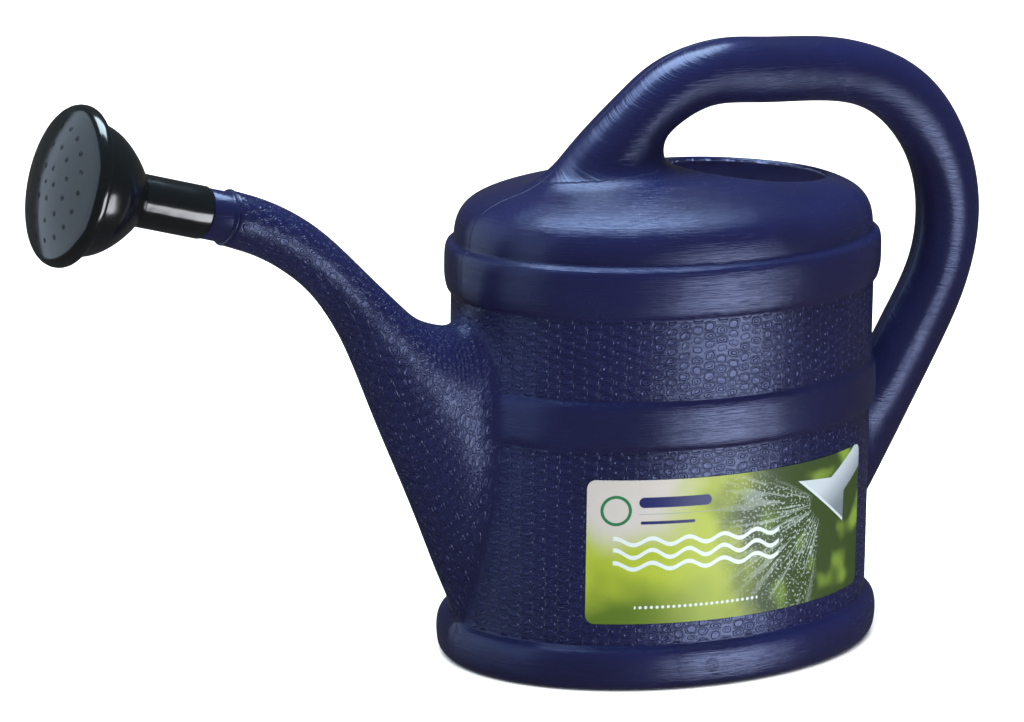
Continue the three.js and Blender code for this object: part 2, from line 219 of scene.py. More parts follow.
def oval_offset(x, y):
    """How far outside the plain wall's oval a point is, along the family of grown ovals."""
    x, y = np.abs(x), np.abs(y) + 1e-6
    offset = np.maximum(np.hypot(x / HALF_LENGTH, y / HALF_WIDTH) - 1, -0.97) * HALF_WIDTH
    offset = np.maximum(offset, y - HALF_WIDTH + 1e-3)
    for _ in range(14):
        a, b = HALF_LENGTH + offset, HALF_WIDTH + offset
        value = (x / a) ** 2 + (y / b) ** 2 - 1
        slope = -2 * (x ** 2 / a ** 3 + y ** 2 / b ** 3)
        offset = np.clip(offset - value / np.minimum(slope, -1e-9), 0.02 - HALF_WIDTH, 60)
    return offset


class Limb:
    """A tube of oval sections: signed distance, length along it and turn round it."""

    def __init__(self, stations, low, high, extend=0.0):
        step = 0.8
        s = np.array(stations, float)
        params = chord((s[:, :2] + s[:, 2:4]) / 2)
        at = np.linspace(0, params[-1], 320)
        rows = spline(s, params, at)
        if extend:
            ahead = (rows[-1] - rows[-2]) / (at[1] - at[0])
            ahead[4:] = 0
            rows = np.vstack([rows, rows[-1] + ahead * extend])
            at = np.append(at, at[-1] + extend)
        first, second = rows[:, :2], rows[:, 2:4]
        middle, reach = (first + second) / 2, (first - second) / 2
        size = np.linalg.norm(reach, axis=1)
        unit = reach / size[:, None]
        xs = np.arange(low[0], high[0], step)
        zs = np.arange(low[1], high[1], step)
        keep = []
        for x in xs:
            gap = np.stack(np.broadcast_arrays(x, zs), 1)[:, None, :] - middle[None]
            ahead = gap[..., 1] * unit[:, 0] - gap[..., 0] * unit[:, 1]
            out = (gap * unit).sum(2) / size
            flip = (ahead[:, :-1] < 0) != (ahead[:, 1:] < 0)
            share = ahead[:, :-1] / np.where(flip, ahead[:, :-1] - ahead[:, 1:], 1)
            mixed = out[:, :-1] * (1 - share) + out[:, 1:] * share
            score = np.where(flip, np.abs(mixed), 99)
            j = np.argmin(score, 1)
            row = np.arange(len(zs))
            found, t = score[row, j] < 2, share[row, j]
            tall, half, lean, length = (
                v[j] * (1 - t) + v[j + 1] * t for v in (size, rows[:, 4], rows[:, 5], at))
            half = half * (1 + lean * np.clip(mixed[row, j], -1, 1))
            level = np.where(found, mixed[row, j], 9)
            keep.append(np.stack([level, tall, half, length, np.where(found, 0, 1)], 1))
        self.table = Table(low, step, *np.moveaxis(np.array(keep), 2, 0))

    def read(self, x, z):
        return np.moveaxis(self.table.read(x, z), -1, 0)

    @staticmethod
    def distance(place, y):
        out, size, half, _, missing = place
        out = np.clip(out, -4, 4)
        level = np.sqrt(out ** 2 + (y / half) ** 2)
        steep = np.sqrt((out / size) ** 2 + (y / half ** 2) ** 2)
        value = level * (level - 1) / np.maximum(steep, 1e-3)
        return np.where(missing > 0.01, 14.0, np.minimum(value, 14.0))


def soft_min(a, b, k):
    h = np.maximum(k - np.abs(a - b), 0) / k
    return np.minimum(a, b) - h * h * k / 4


def soft_max(a, b, k):
    return -soft_min(-a, -b, k)


OUTLINE = profile_table()
handle = Limb(HANDLE, (-92, 20), (188, 292))
spout = Limb(SPOUT, (-250, 0), (-84, 240), extend=14)
AXIS = np.array([-math.cos(TILT), math.sin(TILT)])  # of the spout's last stretch, x and z


def past_tip(x, z):
    """How far a point is beyond the plane of the spout's end face."""
    return (x - TIP[0]) * AXIS[0] + (z - TIP[1]) * AXIS[1]


def ellipse(x, y, a, b):
    level = np.sqrt((x / a) ** 2 + (y / b) ** 2)
    steep = np.sqrt((x / a ** 2) ** 2 + (y / b ** 2) ** 2)
    return level * (level - 1) / np.maximum(steep, 1e-3)


def body(y, z, offset, arm, pipe):
    """Outside of the closed moulding, negative inside, with its roots blended."""
    tank = OUTLINE.read(offset, z)[..., 0]
    arm = Limb.distance(arm, y)
    pipe = Limb.distance(pipe, y)
    high_root = np.clip((z - 150) / 30, 0, 1)
    value = soft_min(tank, arm, TANK_BLEND[0] + (TANK_BLEND[1] - TANK_BLEND[0]) * high_root)
    return np.maximum(soft_min(value, pipe, SPOUT_BLEND), -z)


def skin(x, y, z, offset, arm, pipe):
    """The body with its filler opening started and the spout's end cut and bored."""
    value = body(y, z, offset, arm, pipe)
    well = ellipse(x - OPENING[0], y, OPENING[1], OPENING[2])
    well = np.maximum.reduce([well, -(value + 6), z - 236, 190 - z])
    value = soft_max(value, -well, OPENING_BLEND)
    ahead = past_tip(x, z)
    up = (x - TIP[0]) * AXIS[1] - (z - TIP[1]) * AXIS[0]
    value = np.maximum(value, ahead + END_CUT)
    drill = np.maximum(np.hypot(y, up) - BORE, -BORE_DEPTH - ahead)
    return np.maximum(value, -drill)


def hollow(x, y, z, offset, arm, pipe):
    """The body, stopped short of the spout's end, for the space inside the wall."""
    return np.maximum(body(y, z, offset, arm, pipe), past_tip(x, z) + END_WALL - WALL)


def at_points(field, p):
    x, y, z = p[:, 0], p[:, 1], p[:, 2]
    return field(x, y, z, oval_offset(x, y), handle.read(x, z), spout.read(x, z))


# ------------------------------------------------------------------ surface of a field


def lines(*runs):
    """Grid lines from runs of (end, step), starting at the first number."""
    out = [float(runs[0])]
    for end, step in runs[1:]:
        count = max(1, int(round((end - out[-1]) / step)))
        out.extend(np.linspace(out[-1], end, count + 1)[1:])
    return np.array(out)


def surface(field, level, xs, ys, zs):
    """Quads of the level surface of a field on a grid of uneven lines."""
    grid_x, grid_y, grid_z = np.meshgrid(xs, ys, zs, indexing="ij")
    offset = oval_offset(grid_x[:, :, 0], grid_y[:, :, 0])[:, :, None]
    offset = np.broadcast_to(offset, grid_x.shape)
    arm = [np.broadcast_to(v[:, None, :], grid_x.shape)
           for v in handle.read(grid_x[:, 0, :], grid_z[:, 0, :])]
    pipe = [np.broadcast_to(v[:, None, :], grid_x.shape)
            for v in spout.read(grid_x[:, 0, :], grid_z[:, 0, :])]
    value = field(grid_x, grid_y, grid_z, offset, arm, pipe) - level
    inside = value < 0
    total = sum(
        inside[i:i - 1 or None, j:j - 1 or None, k:k - 1 or None].astype(np.int8)
        for i in (0, 1) for j in (0, 1) for k in (0, 1))
    cells = np.argwhere((total > 0) & (total < 8))
    number = np.full(total.shape, -1)
    number[tuple(cells.T)] = np.arange(len(cells))
    points = np.zeros((len(cells), 3))
    hits = np.zeros(len(cells))
    corners = [(i, j, k) for i in (0, 1) for j in (0, 1) for k in (0, 1)]
    for axis in range(3):
        for corner in corners:
            if corner[axis]:
                continue
            a = cells + corner
            b = a.copy()
            b[:, axis] += 1
            va, vb = value[tuple(a.T)], value[tuple(b.T)]
            hit = (va < 0) != (vb < 0)
            share = np.where(hit, va / np.where(hit, va - vb, 1), 0)
            pa = np.stack([xs[a[:, 0]], ys[a[:, 1]], zs[a[:, 2]]], 1)
            pb = np.stack([xs[b[:, 0]], ys[b[:, 1]], zs[b[:, 2]]], 1)
            points += np.where(hit[:, None], pa + (pb - pa) * share[:, None], 0)
            hits += hit
    points /= hits[:, None]
    quads = []
    for axis in range(3):
        along = [slice(None)] * 3
        ahead = [slice(None)] * 3
        along[axis], ahead[axis] = slice(None, -1), slice(1, None)
        here, there = inside[tuple(along)], inside[tuple(ahead)]
        edges = np.argwhere(here != there)
        u, v = (axis + 1) % 3, (axis + 2) % 3
        ring = []
        for du, dv in ((0, 0), (-1, 0), (-1, -1), (0, -1)):
            cell = edges.copy()
            cell[:, u] += du
            cell[:, v] += dv
            ring.append(number[tuple(cell.T)])
        ring = np.stack(ring, 1)
        back = ~here[tuple(edges.T)]
        ring[back] = ring[back][:, ::-1]
        quads.append(ring)
    return points, np.vstack(quads)


def settle(points, quads, field, level):
    """Moves the points onto the level surface, and evens them out along it."""
    def project(p, steps):
        for _ in range(steps):
            value = at_points(field, p) - level
            slope = np.empty_like(p)
            for axis in range(3):
                side = np.zeros(3)
                side[axis] = 0.06
                slope[:, axis] = (at_points(field, p + side) - at_points(field, p - side)) / 0.12
            size = np.maximum((slope ** 2).sum(1), 0.2)
            p = p - slope * (np.clip(value, -1.5, 1.5) / size)[:, None]
        return p

    edge = np.vstack([quads[:, [0, 1]], quads[:, [1, 2]], quads[:, [2, 3]], quads[:, [3, 0]]])
    for _ in range(2):
        total = np.zeros_like(points)
        count = np.bincount(edge[:, 0], minlength=len(points))
        for k in range(3):
            total[:, k] = np.bincount(edge[:, 0], points[edge[:, 1], k], len(points))
        points = project(points * 0.5 + total / count[:, None] * 0.5, 1)
    return project(points, 3)


# ------------------------------------------------------------------ meshes


def to_metres(points):
    return (np.asarray(points, float) + (SHIFT, 0, 0)) / 1000


def new_object(name, points, faces):
    mesh = bpy.data.meshes.new(name)
    mesh.from_pydata(to_metres(points).tolist(), [], [list(map(int, f)) for f in faces])
    mesh.validate()
    mesh.polygons.foreach_set("use_smooth", np.ones(len(mesh.polygons), bool))
    piece = bpy.data.objects.new(name, mesh)
    bpy.context.scene.collection.objects.link(piece)
    return piece


def mesh_points(mesh):
    co = np.empty(len(mesh.vertices) * 3)
    mesh.vertices.foreach_get("co", co)
    return co.reshape(-1, 3) * 1000 - (SHIFT, 0, 0)


def carve(piece, tool):
    """Cuts one closed piece out of another; both have to face outwards. The tool is used up."""
    change = piece.modifiers.new("carve", "BOOLEAN")
    change.operation = "DIFFERENCE"
    change.solver = "MANIFOLD"
    change.object = tool
    graph = bpy.context.evaluated_depsgraph_get()
    mesh = bpy.data.meshes.new_from_object(piece.evaluated_get(graph))
    piece.modifiers.clear()
    old = piece.data
    piece.data = mesh
    bpy.data.meshes.remove(old)
    bpy.data.objects.remove(tool)


# ------------------------------------------------------------------ the can

GRID = 1.0  # scale of the moulding's grid; a larger number gives a coarser surface


def turned(outline, sides, closed=True):
    """Points and faces of a ring or cup turned round the spout's axis, from (radius, height)."""
    up = (AXIS[1], -AXIS[0])  # across the axis, in x and z
    points, faces = [], []
    for radius, height in outline:
        for i in range(sides):
            turn = 2 * math.pi * i / sides
            points.append((
                TIP[0] + AXIS[0] * height + up[0] * radius * math.sin(turn),
                radius * math.cos(turn),
                TIP[1] + AXIS[1] * height + up[1] * radius * math.sin(turn)))
    rows = len(outline)
    for r in range(rows if closed else rows - 1):
        for i in range(sides):
            j = (i + 1) % sides
            a, b = r * sides, (r + 1) % rows * sides
            faces.append((a + i, a + j, b + j, b + i))
    if not closed:
        faces.append(tuple(range(sides - 1, -1, -1)))
        faces.append(tuple((rows - 1) * sides + i for i in range(sides)))
    return points, faces


def arc(centre, radius, start, end, count):
    """Points of an arc in an outline; angles in degrees from the radius direction."""
    angles = np.radians(np.linspace(start, end, count))
    return [(centre[0] + radius * math.cos(a), centre[1] + radius * math.sin(a)) for a in angles]


SPIGOT = [
    (BORE, -8), (11.2, -8), (11.8, -1.6), (12.1, -1.4), *arc((11.95, -0.8), 0.62, -60, 80, 6),
    (11.5, -0.1), (11.3, 0.15), (11.2, 0.7), (11.15, 9.9), (10.9, 10.4), (9.5, 10.5),
    (9.3, 10.8), (9.3, 31), *arc((8.3, 32), 1.0, 10, 90, 5), (7.6, 33), (BORE, 32.5), (BORE, 20),
]


def moulding():
    """The seamless can: outside skin, inside skin, filler opening and bored spout."""
    g = GRID
    xs = lines(-234, (-180, 1.5 * g), (-96, 1.9 * g), (0, 2.6 * g), (88, 1.7 * g), (180, 2.1 * g))
    half = lines(0, (22, 1.55 * g), (40, 1.9 * g), (86, 2.5 * g))
    zs = lines(-4, (4, 1.2), (18, 1.7 * g), (22, 0.8), (108, 3.2 * g), (118, 1.1), (128, 1.6 * g),
               (135.5, 1.0), (168, 2.8 * g), (200, 1.05), (214, 1.2), (228, 1.0 * g),
               (290, 1.9 * g))
    points, quads = surface(skin, 0, xs, np.concatenate([-half[:0:-1], half]), zs)
    can = new_object("can_moulding", settle(points, quads, skin, 0), quads)
    half = lines(0, (86, 3.4))
    points, quads = surface(
        hollow, -WALL, lines(-234, (180, 3.4)), np.concatenate([-half[:0:-1], half]),
        lines(-4, (290, 3.4)))
    carve(can, new_object("cavity", settle(points, quads, hollow, -WALL), quads))
    spigot = new_object("spigot", *turned(SPIGOT, 72))
    spigot.data.flip_normals()
    with bpy.context.temp_override(
            active_object=can, selected_editable_objects=[can, spigot]):
        bpy.ops.object.join()
    return can


def vector_attribute(mesh, name, values):
    attribute = mesh.attributes.new(name, "FLOAT_VECTOR", "POINT")
    attribute.data.foreach_set("vector", np.ascontiguousarray(values, np.float32).ravel())


def ramp(low, high, value):
    t = np.clip((value - low) / (high - low), 0, 1)
    return t * t * (3 - 2 * t)


def mark_moulding(mesh):
    """Stores what the relief follows: grain is (across, up, strength) of the pebbles, and brush
    is (along, across) of the mould's tool lines, with 1 on the outside and 0 on the inside."""
    p = mesh_points(mesh)
    x, y, z = p.T
    offset = oval_offset(x, y)
    arm, pipe = handle.read(x, z), spout.read(x, z)
    tank, along = np.moveaxis(OUTLINE.read(offset, z), -1, 0)
    arm_gap, pipe_gap = Limb.distance(arm, y), Limb.distance(pipe, y)
    turn = np.arctan2(np.abs(y) / (HALF_WIDTH + offset), -x / (HALF_LENGTH + offset))
    steps = np.linspace(0, math.pi, 400)
    oval = np.stack([HALF_LENGTH * np.cos(steps), HALF_WIDTH * np.sin(steps)], 1)
    girth = np.interp(turn, steps, chord(oval))
    round_pipe = np.arctan2(np.abs(y) / pipe[2], pipe[0]) * (pipe[1] + pipe[2]) / 2
    on_pipe = ramp(-1.5, 1.5, tank - pipe_gap)
    on_arm = ramp(-1.5, 1.5, np.minimum(tank, pipe_gap + 50 * (pipe[4] > 0)) - arm_gap)
    outside = ramp(-2.12, -1.95, body(y, z, offset, arm, pipe))
    tip = past_tip(x, z)
    outside = np.maximum(outside, ramp(-1.8, -1.3, tip))
    walls = ramp(20.6, 21.8, z) * ramp(111, 109.8, z) + ramp(134, 135.2, z) * ramp(171, 169.6, z)
    beside = tank - pipe_gap  # negative on the tank's side of the crease
    grain = walls * ramp(-0.5, -5, beside) + ramp(0.5, 5, beside) * ramp(-3, -5.5, tip)
    grain *= (1 - on_arm) * outside
    pick = on_pipe > 0.5
    vector_attribute(mesh, "grain", np.stack([
        np.where(pick, pipe[3] * 1.15 + 400, girth), np.where(pick, round_pipe, z), grain], 1))
    pick = on_arm > 0.5
    vector_attribute(mesh, "brush", np.stack([
        np.where(pick, x, girth), np.where(pick, z * 0.9 + np.abs(y) * 0.5 + 300, along),
        outside], 1))


can = moulding()
mark_moulding(can.data)

# ------------------------------------------------------------------ the rose

LIP_BACK = 72.0
PLATE = 31.0  # radius the crown of the plate runs down to
PLATE_EDGE = 80.4
CROWN = 6.2  # rise of the crown over its edge
HOLE_RINGS = ((6, 7.5), (12, 16.5), (18, 24.8))  # number of holes and radius of each ring


def rose_bell():
    swell = np.array([
        (11.7, 43.2), (12.6, 44.0), (15.0, 45.9), (18.2, 48.8), (21.8, 52.6), (24.9, 56.6),
        (27.1, 60.3), (28.5, 63.8), (29.5, 67.6), (30.3, 71.0), (31.2, 74.0), (32, 77.4)])
    swell = spline(swell, chord(swell), np.linspace(0, chord(swell)[-1], 34))
    outline = [
        (9.6, 10.8), (11.1, 10.8), (11.55, 11.0), (11.7, 11.5), (11.7, 20), (11.7, 42.4),
        *map(tuple, swell),
        (30.3, 77.4), (29.6, 73.5), (28.6, 69.5), (27, 65), (24, 59.6), (19.5, 53.3), (14, 48.2),
        (10.4, 46), (9.6, 44.6), (9.6, 20)]
    return new_object("rose_bell", *turned(outline, 112))


def crown_height(radius):
    return PLATE_EDGE + CROWN * (1 - (radius / PLATE) ** 2)


def rose_cap():
    """The cap with its crowned plate, a bevelled rim and marks in place of sprinkling holes.

    Known fault: the holes are not open. The cap and the pins both face inwards here, so the
    boolean doubles the plate's faces inside each hole and cuts nothing away. Turning both
    outward before the cut is what it lacks.
    """
    plate = [(r, crown_height(r)) for r in np.linspace(PLATE, 0.02, 26)]
    under = [(r, crown_height(r) - 1.8) for r in np.linspace(0.02, 30, 14)]
    outline = [
        (32.5, LIP_BACK), (33.6, LIP_BACK), (34.2, LIP_BACK + 0.3), (34.7, 72.9), (35.1, 73.9),
        (35.25, 75.0), (35.15, 76.2), (34.75, 77.4), (34.0, 78.5), (33.0, 79.4), (32.0, 80.0),
        *plate, *under, (31.6, 77.9), (32.5, 77.7), (32.5, 75)]
    cap = new_object("rose_cap", *turned(outline, 128))
    cutters = []
    for ring, (count, radius) in enumerate(HOLE_RINGS):
        level = crown_height(radius)
        pin = [(1.0, level - 6), (1.0, level - 0.35), (1.24, level + 0.1), (1.9, level + 3)]
        points, faces = turned(pin, 20, closed=False)
        points = np.array(points)
        for i in range(count):
            turn = 2 * math.pi * (i + ring / 2) / count
            move = (
                radius * math.sin(turn) * AXIS[1], radius * math.cos(turn),
                -radius * math.sin(turn) * AXIS[0])
            cutters.append((points + move, faces))
    count = len(cutters[0][0])
    faces = [tuple(v + k * count for v in f) for k, (_, fs) in enumerate(cutters) for f in fs]
    carve(cap, new_object("pins", np.vstack([p for p, _ in cutters]), faces))
    smooth_crown(cap.data)
    return cap


def smooth_crown(mesh):
    """Meant to shade the plate as the true crown.

    Known fault: the cap faces inwards, so this finds next to none of the plate's faces.
    """
    p = mesh_points(mesh)
    gap = p - (TIP[0], 0, TIP[1])
    axis = np.array([AXIS[0], 0, AXIS[1]])
    height = gap @ axis
    out = gap - height[:, None] * axis
    radius = np.linalg.norm(out, axis=1)
    true = axis + out * (2 * CROWN / PLATE ** 2)
    true /= np.linalg.norm(true, axis=1)[:, None]
    normals = np.zeros((len(mesh.loops), 3), np.float32)
    corner = mesh.corner_normals
    for polygon in mesh.polygons:
        face = np.array(polygon.normal)
        middle = np.array(polygon.center) * 1000 - (SHIFT, 0, 0) - (TIP[0], 0, TIP[1])
        h = middle @ axis
        r = np.linalg.norm(middle - h * axis)
        on_plate = r < PLATE - 0.1 and abs(h - crown_height(r)) < 0.25 and face @ axis > 0.85
        for loop in polygon.loop_indices:
            v = mesh.loops[loop].vertex_index
            normals[loop] = true[v] if on_plate else corner[loop].vector
    mesh.normals_split_custom_set(normals)


def shade(piece):
    """Smooth shading with the sharp edges kept crisp."""
    crisp = math.radians(38)
    mesh = piece.data
    work = bmesh.new()
    work.from_mesh(mesh)
    for edge in work.edges:
        edge.smooth = len(edge.link_faces) != 2 or edge.calc_face_angle() < crisp
    work.to_mesh(mesh)
    work.free()


def outward(piece):
    """Turns a closed piece's faces outwards."""
    work = bmesh.new()
    work.from_mesh(piece.data)
    bmesh.ops.recalc_face_normals(work, faces=work.faces)
    work.to_mesh(piece.data)
    work.free()
    return piece


bell = outward(rose_bell())
shade(bell)
cap = rose_cap()

# ------------------------------------------------------------------ the label

LABEL_ARC = 1.55  # round the oval, in turn of its angle
LABEL_CORNER = 4.2
LABEL_SIDES = (0.12, 0.42)  # back and front of the film, off the wall


def label_sheet():
    """The film, bent round the wall, and its flat length."""
    low, high = label_low[2], label_high[2]
    steps = np.linspace(-0.5, 0.5, 97)
    edge = np.array([0.0, 0.15, 0.5, 1.0, 1.7, 2.6, 3.6]) / (high - low) / 2
    steps = np.unique(np.concatenate([steps, -0.5 + edge, 0.5 - edge]))
    rows = 30
    points, cells = [], []
    for side in LABEL_SIDES:
        for step in steps:
            turn = -math.pi / 2 + LABEL_ARC * step
            inset = (0.5 - abs(step)) * LABEL_ARC * 100
            short = max(LABEL_CORNER - inset, 0)
            trim = LABEL_CORNER - math.sqrt(max(LABEL_CORNER ** 2 - short ** 2, 0))
            for row in range(rows + 1):
                z = low + trim + (high - low - 2 * trim) * row / rows
                points.append((
                    (HALF_LENGTH + side) * math.cos(turn), (HALF_WIDTH + side) * math.sin(turn), z))
    columns, sheet = len(steps), len(steps) * (rows + 1)

    def at(s, c, r):
        return s * sheet + c * (rows + 1) + r

    for c in range(columns - 1):
        for r in range(rows):
            cells.append((at(1, c, r), at(1, c + 1, r), at(1, c + 1, r + 1), at(1, c, r + 1)))
            cells.append((at(0, c, r), at(0, c, r + 1), at(0, c + 1, r + 1), at(0, c + 1, r)))
        for r in (0, rows):
            quad = [at(0, c, r), at(0, c + 1, r), at(1, c + 1, r), at(1, c, r)]
            cells.append(tuple(quad if r == 0 else quad[::-1]))
    for r in range(rows):
        for c in (0, columns - 1):
            quad = [at(0, c, r), at(1, c, r), at(1, c, r + 1), at(0, c, r + 1)]
            cells.append(tuple(quad if c == 0 else quad[::-1]))
    piece = outward(new_object("label_sheet", points, cells))
    shade(piece)
    p = mesh_points(piece.data)
    turn = np.arctan2(p[:, 1] / HALF_WIDTH, p[:, 0] / HALF_LENGTH) + math.pi / 2
    steps = np.linspace(-0.9, 0.9, 400) - math.pi / 2
    oval = np.stack([HALF_LENGTH * np.cos(steps), HALF_WIDTH * np.sin(steps)], 1)
    along = np.interp(turn, np.linspace(-0.9, 0.9, 400), chord(oval))
    along -= along.min()
    vector_attribute(piece.data, "print", np.stack([along, p[:, 2] - low, 0 * along], 1))
    return piece, along.max()


label, LABEL_LENGTH = label_sheet()

# ------------------------------------------------------------------ materials


class Value:
    """A number or vector in a shader, with arithmetic that adds the nodes for it."""

    def __init__(self, tree, socket):
        self.tree, self.socket = tree, socket

    def math(self, operation, *others, clamp=False):
        node = self.tree.nodes.new("ShaderNodeMath")
        node.operation = operation
        node.use_clamp = clamp
        for i, value in enumerate((self, *others)):
            plug(self.tree, value, node.inputs[i])
        return Value(self.tree, node.outputs[0])

    def __add__(self, other):
        return self.math("ADD", other)

    def __sub__(self, other):
        return self.math("SUBTRACT", other)

    def __mul__(self, other):
        return self.math("MULTIPLY", other)

    def __truediv__(self, other):
        return self.math("DIVIDE", other)

    def __abs__(self):
        return self.math("ABSOLUTE")

    def clamp(self):
        return self.math("ADD", 0.0, clamp=True)

    def ramp(self, zero, one):
        """Eased from 0 at the first number to 1 at the second, whichever is higher."""
        node = self.tree.nodes.new("ShaderNodeMapRange")
        node.interpolation_type = "SMOOTHSTEP"
        plug(self.tree, self, node.inputs["Value"])
        falls = zero > one
        for name, value in (("From Min", min(zero, one)), ("From Max", max(zero, one)),
                            ("To Min", float(falls)), ("To Max", float(not falls))):
            node.inputs[name].default_value = value
        return Value(self.tree, node.outputs["Result"])

    def parts(self):
        node = self.tree.nodes.new("ShaderNodeSeparateXYZ")
        plug(self.tree, self, node.inputs[0])
        return [Value(self.tree, output) for output in node.outputs]


def plug(tree, value, socket):
    if isinstance(value, Value):
        tree.links.new(value.socket, socket)
    elif isinstance(value, bpy.types.NodeSocket):
        tree.links.new(value, socket)
    else:
        socket.default_value = value


class Finish:
    """A Principled material and the nodes that feed it."""

    def __init__(self, name, **settings):
        self.material = bpy.data.materials.new(name)
        self.material.use_nodes = True
        self.tree = self.material.node_tree
        self.shader = self.tree.nodes["Principled BSDF"]
        for socket, value in settings.items():
            self.shader.inputs[socket.replace("_", " ")].default_value = value

    def node(self, kind):
        return self.tree.nodes.new("ShaderNode" + kind)

    def attribute(self, name):
        node = self.node("Attribute")
        node.attribute_name = name
        return Value(self.tree, node.outputs["Vector"])

    def place(self):
        """Rest position, in millimetres."""
        node = self.node("TexCoord")
        scale = self.node("VectorMath")
        scale.operation = "MULTIPLY_ADD"
        self.tree.links.new(node.outputs["Object"], scale.inputs[0])
        scale.inputs[1].default_value = (1000, 1000, 1000)
        scale.inputs[2].default_value = (-SHIFT, 0, 0)
        return Value(self.tree, scale.outputs[0])

    def vector(self, x=0.0, y=0.0, z=0.0):
        node = self.node("CombineXYZ")
        for socket, value in zip(node.inputs, (x, y, z)):
            plug(self.tree, value, socket)
        return Value(self.tree, node.outputs[0])

    def noise(self, vector, scale=1.0, detail=2.0, roughness=0.5, size="3D"):
        node = self.node("TexNoise")
        node.noise_dimensions = size
        plug(self.tree, vector, node.inputs["Vector"])
        for name, value in (("Scale", scale), ("Detail", detail), ("Roughness", roughness)):
            node.inputs[name].default_value = value
        return Value(self.tree, node.outputs["Fac"])

    def random(self, vector):
        node = self.node("TexWhiteNoise")
        node.noise_dimensions = "2D"
        plug(self.tree, vector, node.inputs["Vector"])
        split = self.node("SeparateColor")
        self.tree.links.new(node.outputs["Color"], split.inputs[0])
        return [Value(self.tree, output) for output in split.outputs]

    def mix(self, factor, first, second):
        """Colours are tuples or values."""
        node = self.node("Mix")
        node.data_type = "RGBA"
        plug(self.tree, factor, node.inputs[0])
        for socket, value in ((node.inputs[6], first), (node.inputs[7], second)):
            plug(self.tree, (*value, 1) if isinstance(value, tuple) else value, socket)
        return Value(self.tree, node.outputs[2])

    def bump(self, height):
        """Adds relief whose height is in millimetres."""
        node = self.node("Bump")
        node.inputs["Strength"].default_value = 1.0
        node.inputs["Distance"].default_value = 0.001
        plug(self.tree, height, node.inputs["Height"])
        self.tree.links.new(node.outputs["Normal"], self.shader.inputs["Normal"])

    def colour(self, value):
        plug(self.tree, value, self.shader.inputs["Base Color"])

    def rough(self, value):
        plug(self.tree, value, self.shader.inputs["Roughness"])


def pebbles(f, u, v):
    """Staggered columns of oval pebbles, each with a dimple and a low kerb round it."""
    wide, tall = 5.9, 4.6
    wander = f.noise(f.vector(u, v), scale=0.16, detail=1.0, size="2D") - 0.5
    sway = f.noise(f.vector(v, u), scale=0.13, detail=1.0, size="2D") - 0.5
    u, v = u + wander * 1.8, v + sway * 2.0
    column = (u / wide).math("FLOOR")
    lift = v / tall + column.math("MODULO", 2.0) * 0.5
    row = lift.math("FLOOR")
    big, high, tint = f.random(f.vector(column, row))
    across = abs((u / wide - column - 0.5) * wide + (tint - 0.5) * 0.5)
    up = abs((lift - row - 0.5) * tall + (high - 0.5) * 0.4)
    across = across / (big * 0.4 + 2.15)
    up = up / (high * 0.3 + 1.35)
    reach = (across.math("POWER", 2.4) + up.math("POWER", 2.4)).math("POWER", 0.417)
    island = reach.ramp(1.04, 0.84)
    dimple = reach.ramp(0.62, 0.3)
    kerb = reach.ramp(1.12, 1.24) * reach.ramp(1.5, 1.32)
    return island * (tint * 0.3 + 0.7) - dimple * 0.55 * big + kerb * 0.45 * high


def moulded_mark(across, up):
    """A plain raised ring with three bars in it, on the foot."""
    reach = (across * across + up * up).math("SQRT")
    ring = reach.ramp(2.4, 2.6) * reach.ramp(3.2, 3.0)
    bars = abs((up / 1.1).math("ADD", 0.5).math("FRACT") - 0.5).ramp(0.3, 0.2)
    return ring + bars * abs(across).ramp(1.6, 1.4) * abs(up).ramp(1.7, 1.6)


def can_plastic():
    f = Finish("can_plastic", IOR=1.5, Specular_Tint=(0.52, 0.62, 1.0, 1.0))
    place = f.place()
    x, y, z = place.parts()
    u, v, grain = f.attribute("grain").parts()
    along, across, outside = f.attribute("brush").parts()

    stones = pebbles(f, u, v)
    plain = (grain * -1.0 + 1.0) * outside
    wide = f.noise(f.vector(along * 0.014, across * 0.55), detail=3.0, roughness=0.6, size="2D")
    fine = f.noise(f.vector(along * 0.05, across * 2.3), detail=2.0, roughness=0.65, size="2D")
    tooling = (wide - 0.5) * 0.75 + (fine - 0.5) * 0.95
    slow = f.noise(place, scale=0.035, detail=1.5)
    mottle = f.noise(place, scale=0.9, detail=3.0, roughness=0.6)
    seam = abs(y).ramp(0.5, 0.12) * outside
    mark = moulded_mark(x + 21.4, z - 11.0) * y.ramp(-60, -61)

    height = stones * grain * 0.6 + tooling * plain * 0.16 + (slow - 0.5) * 0.9
    height = height + (mottle - 0.5) * (grain * 0.16 + 0.03) + seam * 0.16 + mark * 0.3
    f.bump(height)

    patch = f.noise(place, scale=0.011, detail=3.0, roughness=0.55)
    navy = f.mix(patch.ramp(0.3, 0.7), (0.0055, 0.0046, 0.0172), (0.0063, 0.006, 0.0265))
    navy = f.mix(stones * grain * 0.2, navy, (0.008, 0.009, 0.05))
    # The inside of the moulding gets a light lavender in place of the navy: painted light in the hollow
    # of the can, which is the same navy plastic all through.
    f.colour(f.mix(outside, (0.42, 0.38, 0.6), navy))
    f.rough((patch * 0.05 + mottle * 0.06 + 0.19) + grain * 0.02 + (fine - 0.5) * plain * 0.10)
    return f.material


def rose_plastic():
    f = Finish("rose_plastic", IOR=1.6)
    place = f.place()
    slow = f.noise(place, scale=0.06, detail=2.0)
    fine = f.noise(place, scale=1.4, detail=4.0, roughness=0.65)
    f.bump((slow - 0.5) * 0.25 + (fine - 0.5) * 0.006)
    f.colour(f.mix(fine.ramp(0.3, 0.75), (0.002, 0.0023, 0.0026), (0.0036, 0.004, 0.0045)))
    f.rough(slow * 0.05 + fine * 0.06 + 0.1)
    return f.material


